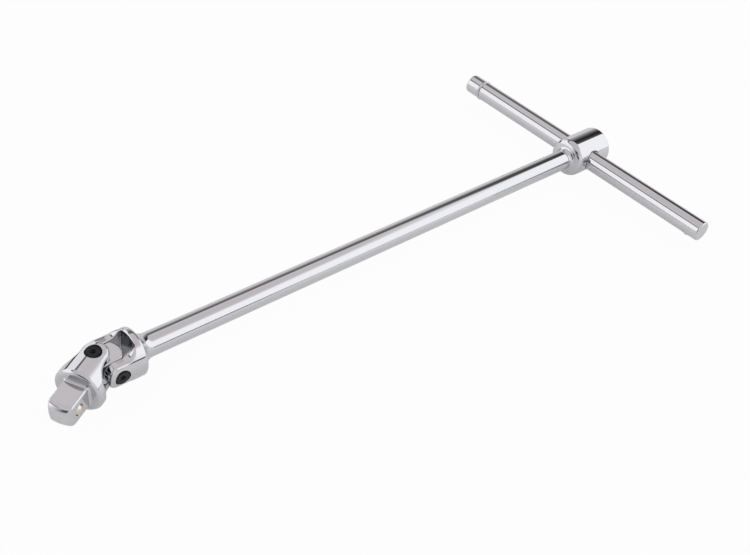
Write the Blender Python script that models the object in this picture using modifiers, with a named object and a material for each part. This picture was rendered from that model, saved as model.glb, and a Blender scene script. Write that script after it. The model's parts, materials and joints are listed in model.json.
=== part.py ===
"""Sliding T-handle driver with a two-pin universal joint and a male square drive.

Metres, +Z up. +X runs along the spindle towards the drive and +Y along the cross bar.
The tool lies flat, its joint bent as it was put down, and the origin is under the middle of its box.
"""

import math

import bmesh
import bpy
from mathutils import Matrix, Vector

MM = 0.001

# Cross bar
BAR_DIAMETER = 12.7 * MM
BAR_LENGTH = 200.0 * MM
BAR_END_ROUND = 1.0 * MM

# Open wire ring that stops the bar in the hub
RING_WIRE = 1.5 * MM
RING_PROUD = 0.5 * MM
RING_FROM_END = 11.6 * MM
RING_OPENING_DEG = 24.0

# Spring ball at the bar's other end
BAR_BALL_DIAMETER = 4.76 * MM
BAR_BALL_PROUD = 0.6 * MM
BAR_BALL_FROM_END = 7.7 * MM
BAR_BALL_TURN_DEG = 48.0
BAR_BALL_FLOOR_WALL = 2.4 * MM

# Hub, measured from the bar's axis
HUB_DIAMETER = 24.6 * MM
HUB_FRONT = 10.3 * MM
HUB_REAR = 16.4 * MM
HUB_FRONT_ROUND = 4.2 * MM
HUB_REAR_ROUND = 1.1 * MM
HUB_FILLET = 2.8 * MM

# Shaft, and where its fork sits
SHAFT_DIAMETER = 12.7 * MM
BAR_TO_FORK_PIN = 349.2 * MM
FORK_TURN_DEG = -2.5
FLARE_RADIUS = 7.5 * MM

# The two forks, measured from the axis of each fork's pin
FORK_DIAMETER = 25.5 * MM
SHAFT_SLOT_WIDTH = 13.0 * MM
DRIVE_SLOT_WIDTH = 13.7 * MM
SLOT_DEPTH = 10.2 * MM
SHAFT_FORK_BACK = 12.7 * MM
DRIVE_FORK_FRONT = 15.5 * MM
FORK_BACK_ROUND = 1.7 * MM
EAR_TIP = 7.2 * MM
EAR_ROUND = 1.9 * MM
EAR_HALF_WIDTH = 6.75 * MM
SHAFT_EAR_FLARE = 6.6 * MM
SHAFT_EAR_FLARE_START = 2.8 * MM
DRIVE_EAR_FLARE = 13.2 * MM
DRIVE_EAR_FLARE_START = 0.0 * MM

# Knuckle block and the two pins that cross it one behind the other
PIN_SPACING = 7.6 * MM
BLOCK_OVERHANG = 6.3 * MM
BLOCK_END_TO_HALF_WIDTH = 1.5
BLOCK_EDGE_ROUND = 0.8 * MM
PIN_SHANK_DIAMETER = 5.8 * MM
PIN_HEAD_DIAMETER = 7.8 * MM
PIN_HEAD_RIM = 0.6 * MM
PIN_HEAD_TAPER = 0.9 * MM
PIN_SUNK = 0.3 * MM
PIN_DIMPLE_DIAMETER = 2.6 * MM
PIN_DIMPLE_DEPTH = 1.7 * MM

# Male square drive and its spring ball
SQUARE_SIDE = 12.7 * MM
SQUARE_LENGTH = 17.0 * MM
SQUARE_CORNER = 1.2 * MM
SQUARE_TIP_ROUND = 2.8 * MM
SQUARE_TIP_CORNER = 3.2 * MM
SQUARE_ROOT_FILLET = 1.4 * MM
FRONT_EDGE_ROUND = 1.9 * MM
DRIVE_BALL_DIAMETER = 6.0 * MM
DRIVE_BALL_PROUD = 1.3 * MM
DRIVE_BALL_FROM_TIP = 8.3 * MM
DRIVE_BALL_FLOOR_WALL = 1.5 * MM

# Springs under the balls
SPRING_WIRE = 0.6 * MM
SPRING_TURNS = 4
LIP_DEPTH = 0.7 * MM

# How the joint lies: droop about the shaft fork's pin, swing about the drive fork's pin
DROOP_DEG = 3.8
SWING_DEG = 28.9

# Clearances
SLIDE_GAP = 0.3 * MM
PIN_GAP = 0.2 * MM
SIDE_GAP = 0.25 * MM
BALL_GAP = 0.25 * MM

# Fineness
TURN_STEPS = 56
SMALL_TURN_STEPS = 28
MERGE = 0.00001
OVERSHOOT = 2.0 * MM

BAR_RADIUS = BAR_DIAMETER / 2
SHAFT_RADIUS = SHAFT_DIAMETER / 2
HUB_RADIUS = HUB_DIAMETER / 2
FORK_RADIUS = FORK_DIAMETER / 2
SQUARE_HALF = SQUARE_SIDE / 2
BLOCK_HALF_WIDTH = SHAFT_SLOT_WIDTH / 2 - SIDE_GAP
BLOCK_HALF_HEIGHT = DRIVE_SLOT_WIDTH / 2 - SIDE_GAP
BLOCK_END_RADIUS = BLOCK_HALF_WIDTH * BLOCK_END_TO_HALF_WIDTH
SQUARE_TIP = DRIVE_FORK_FRONT + SQUARE_LENGTH

ALONG_X = Matrix.Rotation(math.radians(90), 4, "Y")
ALONG_Y = Matrix.Rotation(math.radians(-90), 4, "X")
ALONG_Z = Matrix.Identity(4)
HALF_STEP = Matrix.Rotation(math.pi / TURN_STEPS, 4, "Z")

CHROME = ((0.78, 0.78, 0.80), 0.10, 1.0)
BLACK_OXIDE = ((0.025, 0.025, 0.028), 0.35, 0.9)
POLISHED_STEEL = ((0.62, 0.60, 0.58), 0.18, 1.0)
SPRING_STEEL = ((0.45, 0.45, 0.46), 0.30, 1.0)


def clear_scene():
    """Take every object and collection out of the scene."""
    for item in list(bpy.data.objects):
        bpy.data.objects.remove(item, do_unlink=True)
    for group in list(bpy.data.collections):
        bpy.data.collections.remove(group)


def collection(name):
    group = bpy.data.collections.new(name)
    bpy.context.scene.collection.children.link(group)
    return group


def finish(name, look):
    """A plain metal of the given colour, roughness and metallic value."""
    colour, roughness, metallic = look
    material = bpy.data.materials.new(name)
    material.use_nodes = True
    shader = material.node_tree.nodes["Principled BSDF"]
    shader.inputs["Base Color"].default_value = (*colour, 1.0)
    shader.inputs["Roughness"].default_value = roughness
    shader.inputs["Metallic"].default_value = metallic
    return material


def frame(name, parent, place):
    """An empty that carries the pieces of one moving group."""
    empty = bpy.data.objects.new(name, None)
    PARTS.objects.link(empty)
    empty.parent = parent
    empty.matrix_basis = place
    return empty


def part(name, data, parent, place, look):
    """One piece of the tool, in its own material."""
    piece = bpy.data.objects.new(name, data)
    PARTS.objects.link(piece)
    piece.parent = parent
    piece.matrix_basis = place
    data.materials.append(finish(name + "_finish", look))
    return piece


def cutter(name, data, parent, place):
    """A tool shape that is taken from a piece and isn't a piece itself."""
    shape = bpy.data.objects.new(name, data)
    CUTTERS.objects.link(shape)
    shape.parent = parent
    shape.matrix_basis = place
    shape.hide_render = True
    shape.display_type = "WIRE"
    return shape


def arc(centre_radius, centre_height, radius, start_deg, end_deg, steps):
    """Points of a round stretch of a turned outline, 0 degrees being outwards and 90 upwards."""
    angles = [math.radians(start_deg + (end_deg - start_deg) * i / steps) for i in range(steps + 1)]
    return [(centre_radius + radius * math.cos(a), centre_height + radius * math.sin(a)) for a in angles]


def outline_mesh(name, outline):
    """The open outline of a turned shape: (radius, height) points from the top of the axis to its foot."""
    mesh = bpy.data.meshes.new(name)
    points = [(radius, 0, height) for radius, height in outline]
    edges = [(i, i + 1) for i in range(len(points) - 1)]
    mesh.from_pydata(points, edges, [])
    return mesh


def turn(piece, steps):
    """Sweep an outline once round its own Z axis."""
    screw = piece.modifiers.new("turn", "SCREW")
    screw.steps = steps
    screw.render_steps = steps
    screw.use_merge_vertices = True
    screw.merge_threshold = MERGE
    screw.use_smooth_shade = True
    return piece


def combine(piece, other, operation):
    boolean = piece.modifiers.new(operation.lower() + " " + other.name, "BOOLEAN")
    boolean.operation = operation
    boolean.object = other


def box_mesh(name, low, high):
    """A box between two opposite corners."""
    size = Vector(high) - Vector(low)
    middle = (Vector(high) + Vector(low)) / 2
    mesh = bpy.data.meshes.new(name)
    shape = bmesh.new()
    place = Matrix.Translation(middle) @ Matrix.Diagonal((*size, 1.0))
    bmesh.ops.create_cube(shape, size=1.0, matrix=place)
    shape.to_mesh(mesh)
    shape.free()
    return mesh


def flat_mesh(name, outline):
    """One flat face with the given outline, in the XY plane."""
    mesh = bpy.data.meshes.new(name)
    mesh.from_pydata([(x, y, 0) for x, y in outline], [], [range(len(outline))])
    return mesh


def thicken(piece, thickness):
    """Give a flat face an even thickness, half to each side."""
    solid = piece.modifiers.new("thickness", "SOLIDIFY")
    solid.thickness = thickness
    solid.offset = 0.0


def ball_mesh(name, diameter):
    mesh = bpy.data.meshes.new(name)
    shape = bmesh.new()
    bmesh.ops.create_uvsphere(shape, u_segments=20, v_segments=12, radius=diameter / 2)
    shape.to_mesh(mesh)
    shape.free()
    mesh.shade_smooth()
    return mesh


def wire_curve(name, points, diameter):
    """A round wire along the points, with closed ends."""
    curve = bpy.data.curves.new(name, "CURVE")
    curve.dimensions = "3D"
    curve.bevel_depth = diameter / 2
    curve.bevel_resolution = 2
    curve.use_fill_caps = True
    spline = curve.splines.new("POLY")
    spline.points.add(len(points) - 1)
    for spot, point in zip(spline.points, points):
        spot.co = (*point, 1.0)
    return curve


def coil_points(radius, low, high):
    """A spring's wire: SPRING_TURNS even turns, with half a flat turn at each end."""
    per_turn = 12
    steps = per_turn * (SPRING_TURNS + 1)
    flat = per_turn // 2
    points = []
    for i in range(steps + 1):
        angle = 2 * math.pi * i / per_turn
        climb = min(max((i - flat) / (steps - 2 * flat), 0.0), 1.0)
        points.append((radius * math.cos(angle), radius * math.sin(angle), low + (high - low) * climb))
    return points


def bore_outline(radius, lip_radius, mouth, floor):
    """A blind ball bore, from above its mouth down to its floor, with a staked lip at the mouth."""
    return [
        (0, mouth + OVERSHOOT),
        (lip_radius, mouth + OVERSHOOT),
        (lip_radius, mouth - LIP_DEPTH),
        (radius, mouth - LIP_DEPTH),
        (radius, floor),
        (0, floor),
    ]


def pin_outline(gap):
    """A staked pin, or its hole when it grows by a gap: flared heads at both ends of a straight shank."""
    end = FORK_RADIUS - PIN_SUNK
    head = PIN_HEAD_DIAMETER / 2 + gap
    shank = PIN_SHANK_DIAMETER / 2 + gap
    taper_top = end - PIN_HEAD_RIM
    taper_foot = taper_top - PIN_HEAD_TAPER
    side = [(head, taper_top), (shank, taper_foot), (shank, -taper_foot), (head, -taper_top)]
    if gap:
        top = end + OVERSHOOT
        return [(0, top), (head, top), *side, (head, -top), (0, -top)]
    dimple = PIN_DIMPLE_DIAMETER / 2
    top = [(0, end - PIN_DIMPLE_DEPTH), (dimple, end), (head, end)]
    return top + side + [(radius, -height) for radius, height in reversed(top)]


def ear_outline(facing, flare_start, flare_radius):
    """Metal milled off round a pair of ears, seen along the pin: round tip, straight sides, flared root."""
    reach = FORK_RADIUS + OVERSHOOT
    opening = min((reach - EAR_HALF_WIDTH) / flare_radius, 1.0)
    sweep = math.degrees(math.acos(1 - opening))
    root = arc(-flare_start, EAR_HALF_WIDTH + flare_radius, flare_radius, -90 - sweep, -90, 8)
    corner = math.degrees(math.asin(EAR_HALF_WIDTH / EAR_TIP))
    tip = arc(0, 0, EAR_TIP, corner, -corner, 12)
    other_root = [(x, -y) for x, y in reversed(root)]
    foot = root[0][0]
    nose = EAR_TIP + OVERSHOOT
    side = reach + OVERSHOOT
    outline = [(foot, side), *root, *tip, *other_root, (foot, -side), (nose, -side), (nose, side)]
    return [(facing * x, y) for x, y in outline][::facing]


def cut_fork(piece, carrier, along_pin, facing, slot_width, flare_start, flare_radius):
    """Mill the slot and ears and drill the pin hole of a fork that faces along the carrier's X axis."""
    reach = FORK_RADIUS + OVERSHOOT
    half = slot_width / 2
    floor, mouth = sorted((-facing * SLOT_DEPTH, facing * (EAR_TIP + OVERSHOOT)))
    wide, tall = (half, reach) if along_pin is ALONG_Y else (reach, half)
    slot_mesh = box_mesh(piece.name + "_slot", (floor, -wide, -tall), (mouth, wide, tall))
    combine(piece, cutter(piece.name + "_slot", slot_mesh, carrier, ALONG_Z), "DIFFERENCE")
    ears_mesh = flat_mesh(piece.name + "_ears", ear_outline(facing, flare_start, flare_radius))
    ears = cutter(piece.name + "_ears", ears_mesh, carrier, along_pin)
    thicken(ears, 2 * reach)
    combine(piece, ears, "DIFFERENCE")
    hole_mesh = outline_mesh(piece.name + "_pin_hole", pin_outline(PIN_GAP))
    hole = cutter(piece.name + "_pin_hole", hole_mesh, carrier, along_pin)
    combine(piece, turn(hole, SMALL_TURN_STEPS), "DIFFERENCE")


def shoulder(outer, edge, inner, fillet, start, way):
    """A round edge that runs straight over into a fillet, from an outer radius in to a smaller one.

    It leaves the outer side at the height start, upwards when way is 1 and downwards when it is -1.
    """
    step = inner + fillet - (outer - edge)
    rise = math.sqrt((edge + fillet) ** 2 - step**2)
    meet = math.degrees(math.atan2(rise, step))
    convex = arc(outer - edge, start, edge, 0, way * meet, 6)
    concave = arc(inner + fillet, start + way * rise, fillet, way * (meet + 180), way * 180, 6)
    return convex + concave[1:]


def spindle_outline():
    """Hub, shaft and fork in one turned blank, from the ear tips back to the hub's rear face."""
    tip = BAR_TO_FORK_PIN + EAR_TIP
    back = BAR_TO_FORK_PIN - SHAFT_FORK_BACK
    ear = arc(FORK_RADIUS - EAR_ROUND, tip - EAR_ROUND, EAR_ROUND, 90, 0, 6)
    flare = shoulder(FORK_RADIUS, FORK_BACK_ROUND, SHAFT_RADIUS, FLARE_RADIUS, back, -1)
    front = shoulder(HUB_RADIUS, HUB_FRONT_ROUND, SHAFT_RADIUS, HUB_FILLET, HUB_FRONT, 1)
    rear = arc(HUB_RADIUS - HUB_REAR_ROUND, HUB_REAR_ROUND - HUB_REAR, HUB_REAR_ROUND, 0, -90, 3)
    return [(0, tip), *ear, *flare, *reversed(front), *rear, (0, -HUB_REAR)]


def make_spindle():
    spindle = part("spindle", outline_mesh("spindle", spindle_outline()), TOOL, ALONG_X, CHROME)
    turn(spindle, TURN_STEPS)
    reach = HUB_RADIUS + OVERSHOOT
    radius = BAR_RADIUS + SLIDE_GAP
    bore_mesh = outline_mesh("bar_bore", [(0, reach), (radius, reach), (radius, -reach), (0, -reach)])
    bore = cutter("bar_bore", bore_mesh, TOOL, ALONG_Y @ HALF_STEP)
    combine(spindle, turn(bore, TURN_STEPS), "DIFFERENCE")
    cut_fork(spindle, SHAFT_FORK, ALONG_Y, 1, SHAFT_SLOT_WIDTH, SHAFT_EAR_FLARE_START, SHAFT_EAR_FLARE)
    pin_mesh = outline_mesh("shaft_fork_pin", pin_outline(0))
    pin = part("shaft_fork_pin", pin_mesh, SHAFT_FORK, ALONG_Y, BLACK_OXIDE)
    turn(pin, SMALL_TURN_STEPS)


def make_bar():
    """The bar is turned along Y: the ring's groove near -Y, and near +Y a ball that looks down and ahead."""
    end = BAR_LENGTH / 2
    ring_radius = BAR_RADIUS + RING_PROUD - RING_WIRE / 2
    groove_radius = RING_WIRE / 2 + SLIDE_GAP
    half_angle = math.degrees(math.acos((BAR_RADIUS - ring_radius) / groove_radius))
    groove_middle = RING_FROM_END - end
    shoulder = arc(BAR_RADIUS - BAR_END_ROUND, end - BAR_END_ROUND, BAR_END_ROUND, 90, 0, 3)
    groove = arc(ring_radius, groove_middle, groove_radius, half_angle, 360 - half_angle, 10)
    foot = [(radius, -height) for radius, height in reversed(shoulder)]
    outline = [(0, end), *shoulder, *groove, *foot, (0, -end)]
    bar = part("t_bar", outline_mesh("t_bar", outline), BAR, ALONG_Y, CHROME)
    turn(bar, TURN_STEPS)

    ball_radius = BAR_BALL_DIAMETER / 2
    ball_height = BAR_RADIUS + BAR_BALL_PROUD - ball_radius
    floor = BAR_BALL_FLOOR_WALL - BAR_RADIUS
    facing = Matrix.Rotation(math.radians(180 - BAR_BALL_TURN_DEG), 4, "Y")
    at_ball = Matrix.Translation((0, end - BAR_BALL_FROM_END, 0)) @ facing
    bore_mesh = ball_bore(ball_radius, ball_height, BAR_RADIUS, floor)
    bore = cutter("bar_ball_bore", bore_mesh, BAR, at_ball)
    combine(bar, turn(bore, SMALL_TURN_STEPS), "DIFFERENCE")
    at_centre = at_ball @ Matrix.Translation((0, 0, ball_height))
    part("bar_ball", ball_mesh("bar_ball", BAR_BALL_DIAMETER), BAR, at_centre, POLISHED_STEEL)
    make_spring("bar_ball_spring", ball_radius, ball_height, floor, BAR, at_ball)

    opening = math.radians(RING_OPENING_DEG)
    steps = 30
    start = opening / 2 - math.pi / 2
    angles = [start + (2 * math.pi - opening) * i / steps for i in range(steps + 1)]
    ring_points = [(ring_radius * math.cos(a), 0, ring_radius * math.sin(a)) for a in angles]
    at_groove = Matrix.Translation((0, groove_middle, 0))
    part("stop_ring", wire_curve("stop_ring", ring_points, RING_WIRE), BAR, at_groove, CHROME)


def ball_bore(ball_radius, ball_height, mouth, floor):
    """A ball's blind bore, whose staked lip is narrower than the ball but clears it."""
    radius = ball_radius + BALL_GAP
    lip_height = mouth - LIP_DEPTH - ball_height
    lip_radius = math.sqrt(max(ball_radius**2 - lip_height**2, 0)) + BALL_GAP / 2
    return outline_mesh("ball_bore", bore_outline(radius, min(lip_radius, radius), mouth, floor))


def make_spring(name, ball_radius, ball_height, floor, carrier, place):
    """A coil from the bore's floor up to where its last turn meets the ball, clear of the bore's wall."""
    coil_radius = ball_radius - SPRING_WIRE / 2
    low = floor + BALL_GAP + SPRING_WIRE / 2
    reach = ball_radius + BALL_GAP + SPRING_WIRE / 2
    high = ball_height - math.sqrt(reach**2 - coil_radius**2)
    wire = wire_curve(name, coil_points(coil_radius, low, high), SPRING_WIRE)
    part(name, wire, carrier, place, SPRING_STEEL)


def block_outline():
    """The block along its front pin, about the middle between the pins: flat sides and crowned ends."""
    rise = math.degrees(math.asin(BLOCK_HALF_WIDTH / BLOCK_END_RADIUS))
    centre = PIN_SPACING / 2 + BLOCK_OVERHANG - BLOCK_END_RADIUS
    front = arc(centre, 0, BLOCK_END_RADIUS, -rise, rise, 10)
    back = arc(-centre, 0, BLOCK_END_RADIUS, 180 - rise, 180 + rise, 10)
    return front + back


def make_block():
    """The block holds both pins, at right angles to each other and one behind the other."""
    at_middle = Matrix.Translation((PIN_SPACING / 2, 0, 0))
    block = part("knuckle_block", flat_mesh("knuckle_block", block_outline()), KNUCKLE, at_middle, CHROME)
    thicken(block, 2 * BLOCK_HALF_HEIGHT)
    bevel = block.modifiers.new("edges", "BEVEL")
    bevel.width = BLOCK_EDGE_ROUND
    bevel.segments = 2
    bevel.limit_method = "ANGLE"
    bevel.angle_limit = math.radians(25)
    at_drive_pin = Matrix.Translation((PIN_SPACING, 0, 0))
    for name, place in (("block_rear_hole", ALONG_Y), ("block_front_hole", at_drive_pin)):
        radius = PIN_SHANK_DIAMETER / 2 + PIN_GAP
        reach = max(BLOCK_HALF_WIDTH, BLOCK_HALF_HEIGHT) + OVERSHOOT
        mesh = outline_mesh(name, [(0, reach), (radius, reach), (radius, -reach), (0, -reach)])
        combine(block, turn(cutter(name, mesh, KNUCKLE, place), SMALL_TURN_STEPS), "DIFFERENCE")


def square_ring(half, corner, steps):
    """Points round a square with rounded corners, centred on the axis."""
    ring = []
    for quarter in range(4):
        turned = math.radians(90 * quarter)
        for i in range(steps + 1):
            angle = turned + math.radians(90) * i / steps
            centre = half - corner
            middle = turned + math.radians(45)
            y = math.sqrt(2) * centre * math.cos(middle) + corner * math.cos(angle)
            z = math.sqrt(2) * centre * math.sin(middle) + corner * math.sin(angle)
            ring.append((y, z))
    return ring


def square_sections():
    """(distance, half side, corner) of the square's sections: root fillet, straight flanks, round tip."""
    fillet = arc(SQUARE_ROOT_FILLET, SQUARE_ROOT_FILLET, SQUARE_ROOT_FILLET, 270, 180, 4)
    tip = arc(-SQUARE_TIP_ROUND, -SQUARE_TIP_ROUND, SQUARE_TIP_ROUND, 0, 90, 5)
    swell = (SQUARE_TIP_CORNER - SQUARE_CORNER) / SQUARE_TIP_ROUND
    root = [(DRIVE_FORK_FRONT + height, SQUARE_HALF + side, SQUARE_CORNER + side) for side, height in fillet]
    nose = [(SQUARE_TIP + height, SQUARE_HALF + side, SQUARE_CORNER - swell * side) for side, height in tip]
    inside = (DRIVE_FORK_FRONT - OVERSHOOT, *root[0][1:])
    return [inside] + root + nose


def square_mesh(name):
    """A loft along X through the square's sections, closed at both ends."""
    mesh = bpy.data.meshes.new(name)
    shape = bmesh.new()
    rings = []
    for distance, half, corner in square_sections():
        rings.append([shape.verts.new((distance, y, z)) for y, z in square_ring(half, corner, 3)])
    count = len(rings[0])
    for near, far in zip(rings, rings[1:]):
        for i in range(count):
            after = (i + 1) % count
            shape.faces.new((near[i], near[after], far[after], far[i]))
    shape.faces.new(list(reversed(rings[0])))
    shape.faces.new(rings[-1])
    bmesh.ops.recalc_face_normals(shape, faces=shape.faces)
    shape.to_mesh(mesh)
    shape.free()
    return mesh


def make_drive():
    """The drive fork is turned about X, its square is joined on, and its pin stands along Z."""
    foot = DRIVE_FORK_FRONT
    front = arc(FORK_RADIUS - FRONT_EDGE_ROUND, foot - FRONT_EDGE_ROUND, FRONT_EDGE_ROUND, 90, 0, 4)
    ear = arc(FORK_RADIUS - EAR_ROUND, EAR_ROUND - EAR_TIP, EAR_ROUND, 0, -90, 6)
    outline = [(0, foot), *front, *ear, (0, -EAR_TIP)]
    fork = part("drive_fork", outline_mesh("drive_fork", outline), DRIVE, ALONG_X, CHROME)
    turn(fork, TURN_STEPS)
    square = cutter("drive_square", square_mesh("drive_square"), DRIVE, ALONG_Z)
    combine(fork, square, "UNION")
    cut_fork(fork, DRIVE, ALONG_Z, -1, DRIVE_SLOT_WIDTH, DRIVE_EAR_FLARE_START, DRIVE_EAR_FLARE)
    pin_mesh = outline_mesh("drive_fork_pin", pin_outline(0))
    pin = part("drive_fork_pin", pin_mesh, DRIVE, ALONG_Z, BLACK_OXIDE)
    turn(pin, SMALL_TURN_STEPS)

    ball_radius = DRIVE_BALL_DIAMETER / 2
    ball_height = SQUARE_HALF + DRIVE_BALL_PROUD - ball_radius
    floor = DRIVE_BALL_FLOOR_WALL - SQUARE_HALF
    at_ball = Matrix.Translation((SQUARE_TIP - DRIVE_BALL_FROM_TIP, 0, 0)) @ ALONG_Y
    bore_mesh = ball_bore(ball_radius, ball_height, SQUARE_HALF, floor)
    bore = cutter("drive_ball_bore", bore_mesh, DRIVE, at_ball)
    combine(fork, turn(bore, SMALL_TURN_STEPS), "DIFFERENCE")
    at_centre = at_ball @ Matrix.Translation((0, 0, ball_height))
    part("drive_ball", ball_mesh("drive_ball", DRIVE_BALL_DIAMETER), DRIVE, at_centre, POLISHED_STEEL)
    make_spring("drive_ball_spring", ball_radius, ball_height, floor, DRIVE, at_ball)


def lay_down():
    """Move the whole tool so that the bottom middle of its box is the origin."""
    bpy.context.view_layer.update()
    graph = bpy.context.evaluated_depsgraph_get()
    spots = []
    for piece in PARTS.objects:
        if piece.type == "EMPTY":
            continue
        shape = piece.evaluated_get(graph)
        mesh = shape.to_mesh()
        spots += [shape.matrix_world @ vertex.co for vertex in mesh.vertices]
        shape.to_mesh_clear()
    low = Vector([min(spot[i] for spot in spots) for i in range(3)])
    high = Vector([max(spot[i] for spot in spots) for i in range(3)])
    TOOL.location = (-(low.x + high.x) / 2, -(low.y + high.y) / 2, -low.z)


clear_scene()
PARTS = collection("sliding_t_driver")
CUTTERS = collection("cutters")
TOOL = frame("tool", None, Matrix.Identity(4))
BAR = frame("bar_axis", TOOL, Matrix.Identity(4))
FORK_TURN = Matrix.Rotation(math.radians(FORK_TURN_DEG), 4, "X")
SHAFT_FORK = frame("shaft_fork_axis", TOOL, Matrix.Translation((BAR_TO_FORK_PIN, 0, 0)) @ FORK_TURN)
KNUCKLE = frame("knuckle_axis", SHAFT_FORK, Matrix.Rotation(math.radians(DROOP_DEG), 4, "Y"))
SWING = Matrix.Rotation(math.radians(SWING_DEG), 4, "Z")
DRIVE = frame("drive_axis", KNUCKLE, Matrix.Translation((PIN_SPACING, 0, 0)) @ SWING)

make_spindle()
make_bar()
make_block()
make_drive()
lay_down()
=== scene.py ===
# %% [markdown]
# # A sliding T-handle driver with a universal joint
#
# The real tool is forged steel under a mirror-bright chrome plate: a cross bar that slides in a hub,
# a long round spindle, and a two-pin joint that ends in a male square. This lesson takes the packed
# solids as a fixed frame and puts a finely rounded, plated skin in the place of each of them.

# %% Load the frame
import json
import math

import bpy
import numpy as np
from mathutils import Matrix, Vector


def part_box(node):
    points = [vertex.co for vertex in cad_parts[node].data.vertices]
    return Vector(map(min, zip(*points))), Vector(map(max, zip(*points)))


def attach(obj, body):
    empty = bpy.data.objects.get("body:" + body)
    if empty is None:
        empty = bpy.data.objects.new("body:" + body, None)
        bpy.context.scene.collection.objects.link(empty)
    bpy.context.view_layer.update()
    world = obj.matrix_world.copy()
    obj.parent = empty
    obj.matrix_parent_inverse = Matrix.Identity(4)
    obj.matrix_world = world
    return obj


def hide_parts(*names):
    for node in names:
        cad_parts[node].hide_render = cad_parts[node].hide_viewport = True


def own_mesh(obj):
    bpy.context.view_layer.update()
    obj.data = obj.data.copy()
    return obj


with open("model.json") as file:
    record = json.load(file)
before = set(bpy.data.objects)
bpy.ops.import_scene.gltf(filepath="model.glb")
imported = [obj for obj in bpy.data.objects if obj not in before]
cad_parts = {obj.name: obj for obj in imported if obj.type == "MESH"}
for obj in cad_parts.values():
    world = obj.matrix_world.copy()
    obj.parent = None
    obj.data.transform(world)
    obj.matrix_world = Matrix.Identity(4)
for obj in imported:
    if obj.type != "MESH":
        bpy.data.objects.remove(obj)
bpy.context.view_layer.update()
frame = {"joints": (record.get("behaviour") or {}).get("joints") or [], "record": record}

# %% [markdown]
# ## Where each piece sits
#
# Every piece is easiest to describe about its own axis, in millimetres. The axes could be typed in
# as numbers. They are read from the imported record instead, because its joints and mounts already
# hold them: the two pins, the bar's axis and the way the square points.

# %% Axes of the tool
MM = 0.001
joints = {joint["name"]: joint for joint in frame["joints"]}
mounts = {mount["name"]: mount for mount in frame["record"]["mounts"]}


def square_axes(x=None, y=None, z=None):
    """Three axes at right angles, as rows: the missing one is the cross product of the other two."""
    x = np.cross(y, z) if x is None else np.asarray(x, float)
    y = np.cross(z, x) if y is None else np.asarray(y, float)
    z = np.cross(x, y) if z is None else np.asarray(z, float)
    rows = np.stack([x, y, z])
    return rows / np.linalg.norm(rows, axis=1, keepdims=True)


def place(origin, axes):
    return np.asarray(origin, float), axes


def to_row_frame(points, spot):
    """Local millimetres to the row frame: origin + sum of each coordinate times its axis."""
    origin, axes = spot
    return origin + MM * points @ axes


rear_pin, front_pin = joints["shaft_fork_swing"], joints["drive_fork_swing"]
shaft_axis = -np.array(mounts["hub_rear_face"]["axis"])
bar_place = place(joints["bar_spin"]["pos_m"], np.eye(3))
fork_place = place(rear_pin["pos_m"], square_axes(x=shaft_axis, y=rear_pin["axis"]))
knuckle_axes = square_axes(y=rear_pin["axis"], z=front_pin["axis"])
drive_axes = square_axes(z=front_pin["axis"], x=mounts["square_tip_face"]["axis"])
drive_place = place(front_pin["pos_m"], drive_axes)
block_middle = (np.array(rear_pin["pos_m"]) + np.array(front_pin["pos_m"])) / 2
block_place = place(block_middle, knuckle_axes)
bar_to_pin = np.linalg.norm(fork_place[0] - bar_place[0]) / MM
pin_spacing = np.linalg.norm(drive_place[0] - fork_place[0]) / MM
print(f"bar axis to first pin {bar_to_pin:.1f} mm, pins {pin_spacing:.1f} mm apart")

# %% [markdown]
# ## From arrays to an object
#
# A mesh is a table of points and a table of faces. Both are worked out as whole arrays, so one
# small function is enough to hand them to Blender, shade them smooth and tie the piece to the body
# that it moves with. Where the exact surface normal is known, it is stored too: a mirror finish
# shows every error in the shading that the faces alone would leave.

# %% Make a piece
def signed_volume(points, faces):
    """Sum of the tetrahedra from the origin to each corner triangle: positive if faces look outwards."""
    a, b, c = (points[faces[:, k]] for k in range(3))
    total = np.einsum("ij,ij->", a, np.cross(b, c))
    if faces.shape[1] == 4:
        d = points[faces[:, 3]]
        total += np.einsum("ij,ij->", a, np.cross(c, d))
    return total / 6


def make_piece(name, points, faces, node, body, normals=None, marks=None):
    """One object at the origin, from points in the row frame, standing for a CAD node."""
    mesh = bpy.data.meshes.new(name)
    mesh.from_pydata(points, [], faces)
    mesh.validate()
    mesh.shade_smooth()
    if normals is not None:
        mesh.normals_split_custom_set_from_vertices(normals)
    for mark, values in (marks or {}).items():
        attribute = mesh.attributes.new(mark, "FLOAT", "POINT")
        attribute.data.foreach_set("value", values.astype(np.float32))
    piece = bpy.data.objects.new(name, mesh)
    bpy.context.scene.collection.objects.link(piece)
    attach(piece, body)
    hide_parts(node)
    triangles = sum(len(face.vertices) - 2 for face in mesh.polygons)
    print(f"{name}: {len(mesh.vertices)} points, {triangles} triangles")
    return piece


# %% [markdown]
# ## A skin round a milled and drilled forging
#
# The spindle, the bar, the block and the drive end are turned, slotted, drilled and then buffed
# until every edge is soft. A turned outline can't hold a slot, and cutting meshes out of each other
# leaves hard, torn edges that a mirror shows at once. So each of these four is written as a
# distance: how far a point lies outside the metal, negative within it. Two solids join or cut with
# a rounded edge of any radius, and the skin is laid where the distance is nought.

# %% Rounded joining and cutting
def joined(a, b, radius):
    """Either solid: the smaller distance, with the inner corner filled by an arc of the radius."""
    filled = np.hypot(np.maximum(radius - a, 0), np.maximum(radius - b, 0))
    return np.maximum(np.minimum(a, b), radius) - filled


def shared(a, b, radius):
    """Both solids at once: the larger distance, with the outer edge rounded by an arc of the radius."""
    turned = np.hypot(np.maximum(radius + a, 0), np.maximum(radius + b, 0))
    return np.minimum(np.maximum(a, b), -radius) + turned


def cut(a, b, radius):
    """The first solid without the second: shared by the first and the second's outside."""
    return shared(a, -b, radius)


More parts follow.
